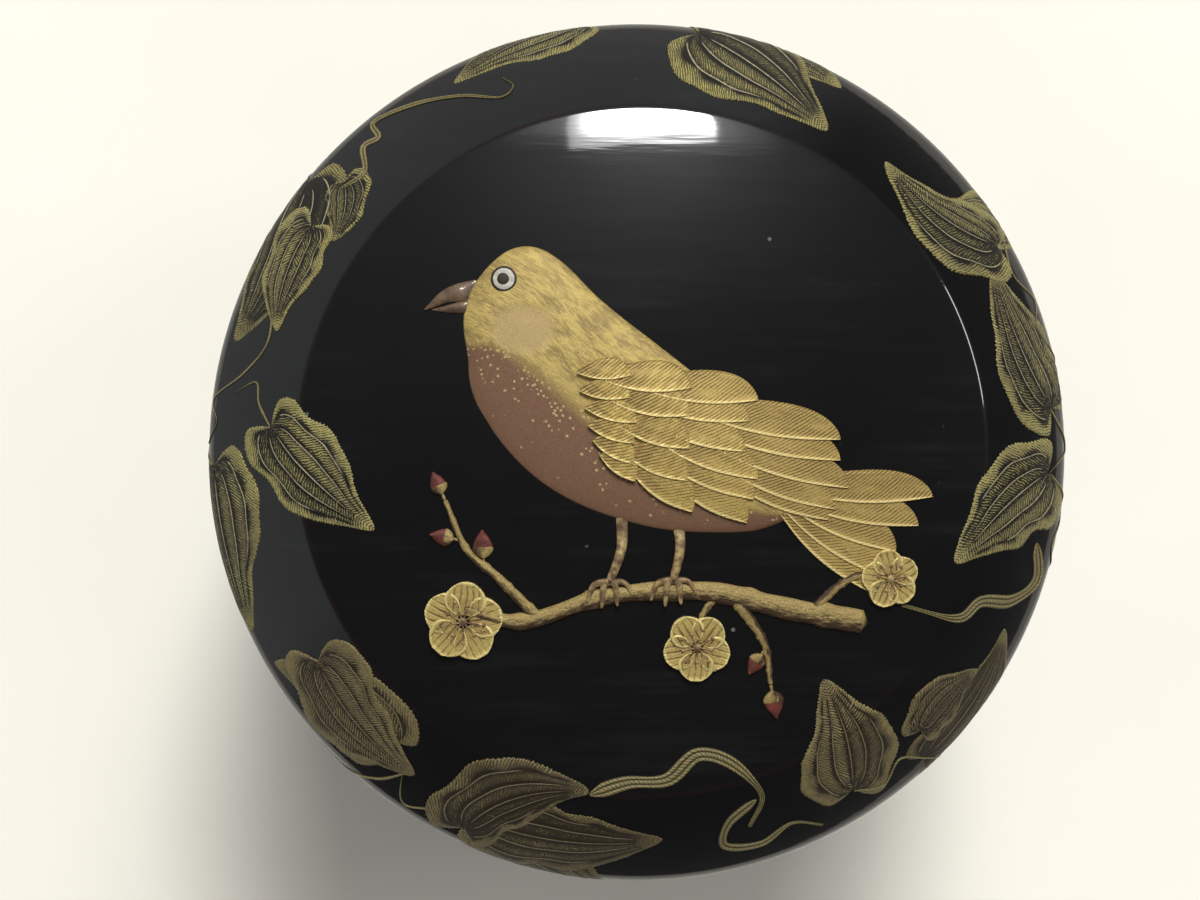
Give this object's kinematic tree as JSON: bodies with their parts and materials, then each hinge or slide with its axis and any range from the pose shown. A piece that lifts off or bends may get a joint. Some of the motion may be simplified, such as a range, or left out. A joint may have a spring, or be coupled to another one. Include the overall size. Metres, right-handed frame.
{
  "type": "lacquer tea caddy",
  "caption": "Round black lacquer tea caddy, a hollow turned body with a raised lip and a domed lift-off lid, with a gold bird and trailing gold leaves.",
  "frame": {"origin": "centre of the underside, on the plane that the foot ring stands on", "axes": "+Z up along the turning axis; the lid's picture is upright when seen from above with +Y up and +X to the right"},
  "size_m": [0.066, 0.066, 0.067],
  "materials": {
    "black_lacquer": "mirror-polished black lacquer over turned wood",
    "gold_powder": "raised gold-powder lacquer, satin, engraved with fine lines",
    "brown_powder": "reddish-brown lacquer dusted with gold specks",
    "shell_inlay": "polished mother-of-pearl inlay"
  },
  "bodies": {
    "root": {"caddy_body": "black_lacquer", "lid": "black_lacquer"}
  },
  "joints": []
}
